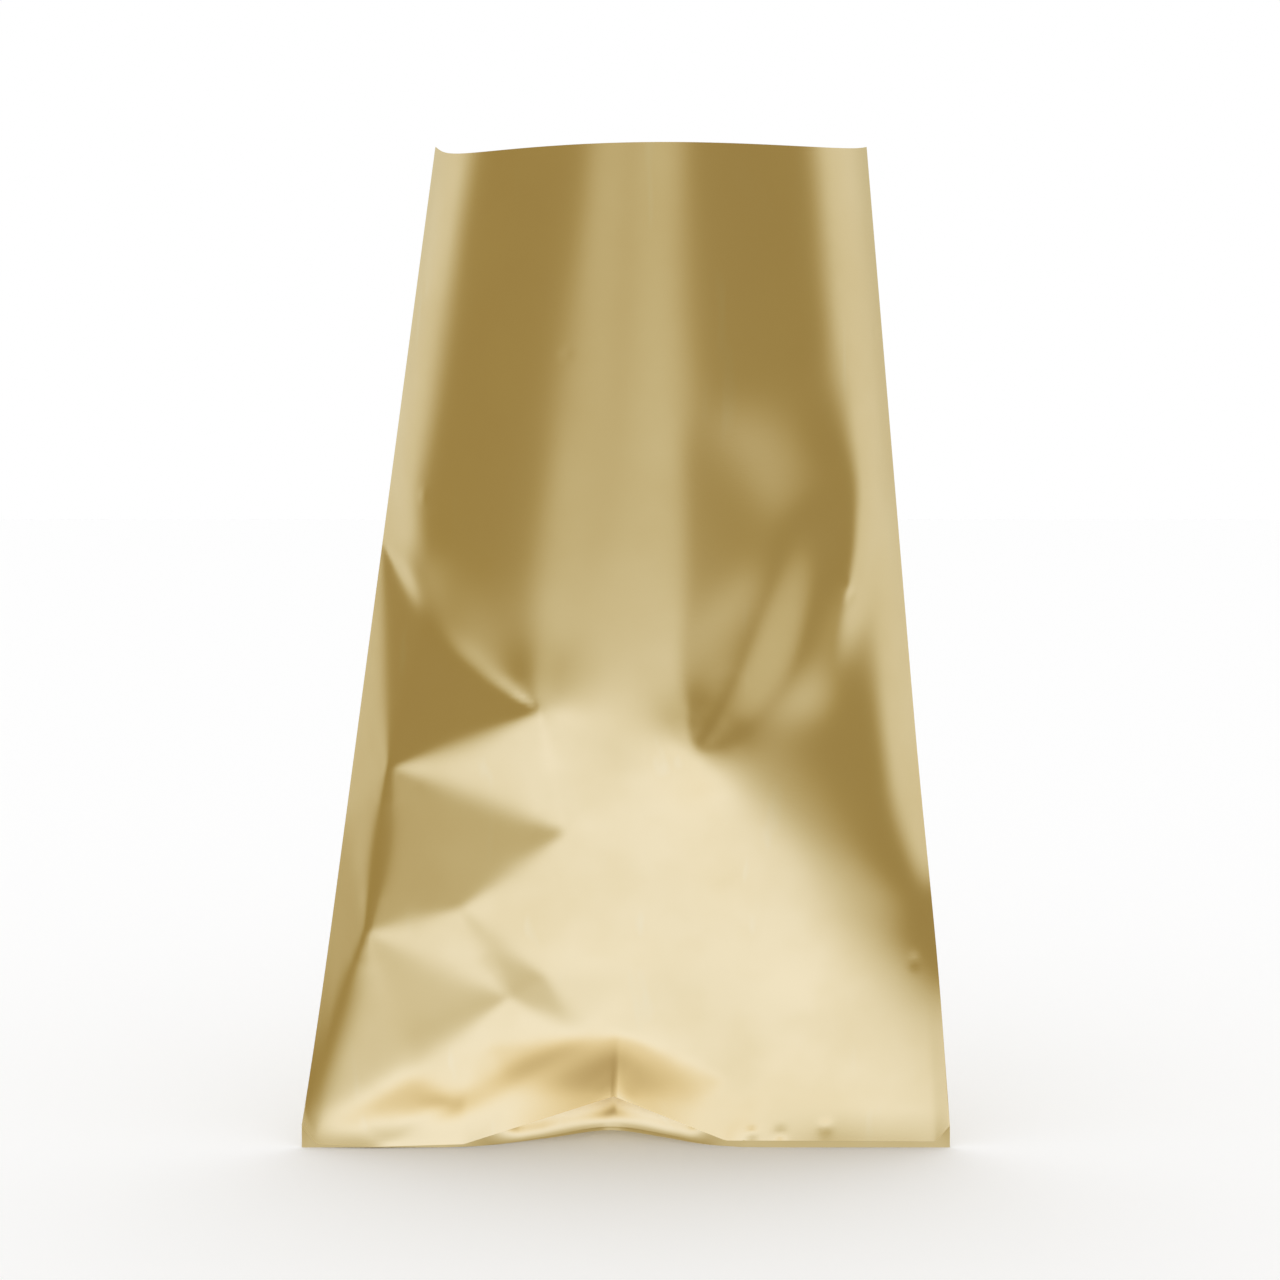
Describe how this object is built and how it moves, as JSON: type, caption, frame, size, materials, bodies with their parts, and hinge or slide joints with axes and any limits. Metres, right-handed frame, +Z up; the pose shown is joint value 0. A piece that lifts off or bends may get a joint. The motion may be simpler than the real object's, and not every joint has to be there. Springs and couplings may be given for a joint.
{
  "type": "gift bag",
  "caption": "Flat gift bag of satin gold metallised film, standing on its bowed bottom seal, with an open mouth that folds flat.",
  "frame": {"origin": "on the supporting surface, under the middle of the open bag's box", "axes": "+X to the bag's right seen from the front, +Y towards its back, +Z up to the mouth"},
  "size_m": [0.1586, 0.1007, 0.2385],
  "materials": {
    "gold_film": "satin metallised gold film",
    "seal_film": "heat-sealed satin gold film",
    "seam_film": "lapped satin gold film"
  },
  "bodies": {
    "bottom_seal": {"front_seal_layer": "seal_film", "back_seal_layer": "seal_film", "front_base_fold": "gold_film", "back_base_fold": "gold_film"},
    "front_centre": {"front_centre_panel": "gold_film"},
    "front_left": {"front_left_panel": "gold_film"},
    "front_right": {"front_right_panel": "gold_film"},
    "back_centre": {"back_centre_left_panel": "gold_film", "back_centre_right_panel": "gold_film", "back_seam": "seam_film"},
    "back_left": {"back_left_panel": "gold_film"},
    "back_right": {"back_right_panel": "gold_film"}
  },
  "joints": [
    {"name": "front_panel_fold", "type": "hinge", "parent": "bottom_seal", "child": "front_centre", "pos_m": [0, -0.009, 0.0067], "axis": [-1, 0, 0], "range_deg": [0, 12.12]},
    {"name": "back_panel_fold", "type": "hinge", "parent": "bottom_seal", "child": "back_centre", "pos_m": [0, -0.0074, 0.0067], "axis": [1, 0, 0], "range_deg": [0, 12.12]},
    {"name": "front_left_fold", "type": "hinge", "parent": "front_centre", "child": "front_left", "pos_m": [-0.08, -0.009, 0.0067], "axis": [0.2176, -0.1716, 0.9609], "range_deg": [0, 72.68]},
    {"name": "front_right_fold", "type": "hinge", "parent": "front_centre", "child": "front_right", "pos_m": [0.08, -0.009, 0.0067], "axis": [0.2646, 0.1695, -0.9494], "range_deg": [0, 52.19]},
    {"name": "back_left_fold", "type": "hinge", "parent": "back_centre", "child": "back_left", "pos_m": [-0.08, -0.0074, 0.0067], "axis": [-0.2176, -0.2382, -0.9465], "range_deg": [0, 72.68]},
    {"name": "back_right_fold", "type": "hinge", "parent": "back_centre", "child": "back_right", "pos_m": [0.08, -0.0074, 0.0067], "axis": [-0.2646, 0.2353, 0.9352], "range_deg": [0, 52.19]}
  ],
  "couplings": [
    {"joint": "back_panel_fold", "follows": "front_panel_fold", "ratio": 1},
    {"joint": "front_left_fold", "follows": "front_panel_fold", "ratio": 5.9944},
    {"joint": "front_right_fold", "follows": "front_panel_fold", "ratio": 4.3045},
    {"joint": "back_left_fold", "follows": "front_panel_fold", "ratio": 5.9944},
    {"joint": "back_right_fold", "follows": "front_panel_fold", "ratio": 4.3045}
  ]
}
